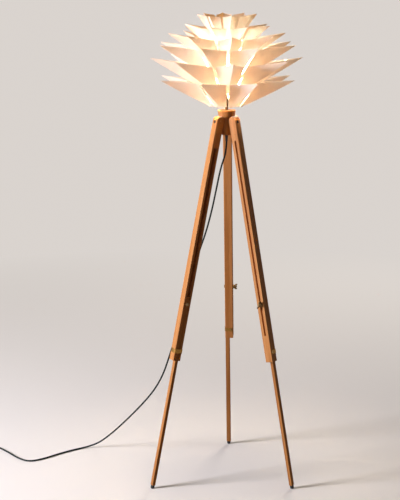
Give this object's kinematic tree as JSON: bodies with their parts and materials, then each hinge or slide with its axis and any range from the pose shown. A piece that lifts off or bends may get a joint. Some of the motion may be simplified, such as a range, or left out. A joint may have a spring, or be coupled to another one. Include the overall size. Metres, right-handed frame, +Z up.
{
  "type": "tripod floor lamp",
  "caption": "Floor lamp on a folding tripod of telescopic wooden legs with wing-nut clamps, under a tiered shade of pointed petals",
  "frame": {"origin": "on the floor, under the middle of the lamp's outline measured without its cord, coil and plug", "axes": "+Z up, the longest side; -Y is the side seen in the reference view; +X to the right of that view"},
  "size_m": [1.2307, 0.5542, 1.6152],
  "materials": {
    "head_wood": "oiled teak-like hardwood, satin",
    "leg_wood": "oiled teak-like hardwood, satin, grain along the leg",
    "extension_wood": "the same hardwood, rubbed where it slides",
    "dowel_wood": "hardwood dowel, end grain",
    "hinge_steel": "blackened steel",
    "screw_steel": "dulled steel",
    "band_metal": "aged brass, satin",
    "bolt_steel": "aged brass",
    "wing_nut_metal": "cast brass, edges rubbed bright",
    "foot_rubber": "matt black",
    "stem_metal": "black, semi-gloss",
    "holder_black": "black moulding",
    "holder_ceramic": "unglazed",
    "bulb_cap_metal": "bare thread",
    "bulb_glass": "frosted",
    "shade_wire": "cream, satin",
    "petal_paper": "translucent, peach, matt",
    "gland_black": "black moulding",
    "cord_black": "black flex",
    "tie_black": "black clip",
    "plug_black": "black moulding",
    "plug_pin_metal": "nickel-plated brass"
  },
  "bodies": {
    "lamp_head": {"head_block": "head_wood", "hinge_eyes": "hinge_steel", "stem_tube": "stem_metal", "lampholder_cap": "holder_black", "lampholder_shell": "holder_black", "lampholder_insert": "holder_ceramic", "shade_ring": "holder_black", "bulb_cap": "bulb_cap_metal", "bulb_glass": "bulb_glass", "shade_hub": "shade_wire", "shade_ribs": "shade_wire", "shade_top_ring": "shade_wire", "petals_tier_1": "petal_paper", "petals_tier_2": "petal_paper", "petals_tier_3": "petal_paper", "petals_tier_4": "petal_paper", "petals_tier_5": "petal_paper", "petals_tier_6": "petal_paper", "cord_gland": "gland_black", "inner_lead": "cord_black", "cord": "cord_black", "cord_coil": "cord_black", "cord_tie": "tie_black", "plug_body": "plug_black", "plug_pins": "plug_pin_metal"},
    "leg_back": {"upper_leg_back": "leg_wood", "hinge_pin_back": "dowel_wood", "tension_screw_back": "screw_steel", "band_back": "band_metal", "band_screws_back": "screw_steel"},
    "extension_back": {"lower_leg_back": "extension_wood", "foot_back": "foot_rubber", "clamp_bolt_back": "bolt_steel", "clamp_washer_back": "bolt_steel"},
    "nut_back": {"wing_nut_back": "wing_nut_metal"},
    "leg_left": {"upper_leg_left": "leg_wood", "hinge_pin_left": "dowel_wood", "tension_screw_left": "screw_steel", "band_left": "band_metal", "band_screws_left": "screw_steel"},
    "extension_left": {"lower_leg_left": "extension_wood", "foot_left": "foot_rubber", "clamp_bolt_left": "bolt_steel", "clamp_washer_left": "bolt_steel"},
    "nut_left": {"wing_nut_left": "wing_nut_metal"},
    "leg_right": {"upper_leg_right": "leg_wood", "hinge_pin_right": "dowel_wood", "tension_screw_right": "screw_steel", "band_right": "band_metal", "band_screws_right": "screw_steel"},
    "extension_right": {"lower_leg_right": "extension_wood", "foot_right": "foot_rubber", "clamp_bolt_right": "bolt_steel", "clamp_washer_right": "bolt_steel"},
    "nut_right": {"wing_nut_right": "wing_nut_metal"}
  },
  "joints": [
    {"name": "fold_back", "type": "hinge", "parent": "lamp_head", "child": "leg_back", "pos_m": [0.00636, 0.01287, 1.262], "axis": [0.9959, -0.0906, 0], "range_deg": [-11.4, 2.6]},
    {"name": "extend_back", "type": "slide", "parent": "leg_back", "child": "extension_back", "axis": [0.0179, 0.1968, -0.9803], "range_m": [-0.44, 0.102]},
    {"name": "nut_turn_back", "type": "hinge", "parent": "extension_back", "child": "nut_back", "pos_m": [0.03865, 0.13495, 0.64453], "axis": [0.9959, -0.0906, 0], "continuous": true},
    {"name": "fold_left", "type": "hinge", "parent": "lamp_head", "child": "leg_left", "pos_m": [-0.02405, -0.03377, 1.262], "axis": [-0.4848, 0.8746, 0], "range_deg": [-11.8, 2.2]},
    {"name": "extend_left", "type": "slide", "parent": "leg_left", "child": "extension_left", "axis": [-0.1789, -0.0991, -0.9789], "range_m": [-0.442, 0.1]},
    {"name": "nut_turn_left", "type": "hinge", "parent": "extension_left", "child": "nut_left", "pos_m": [-0.14727, -0.07795, 0.6436], "axis": [-0.4848, 0.8746, 0], "continuous": true},
    {"name": "fold_right", "type": "hinge", "parent": "lamp_head", "child": "leg_right", "pos_m": [0.02946, -0.03634, 1.262], "axis": [-0.5664, -0.8241, 0], "range_deg": [-10.9, 3.1]},
    {"name": "extend_right", "type": "slide", "parent": "leg_right", "child": "extension_right", "axis": [0.1558, -0.1071, -0.982], "range_m": [-0.438, 0.104]},
    {"name": "nut_turn_right", "type": "hinge", "parent": "extension_right", "child": "nut_right", "pos_m": [0.11533, -0.12096, 0.64564], "axis": [-0.5664, -0.8241, 0], "continuous": true}
  ]
}
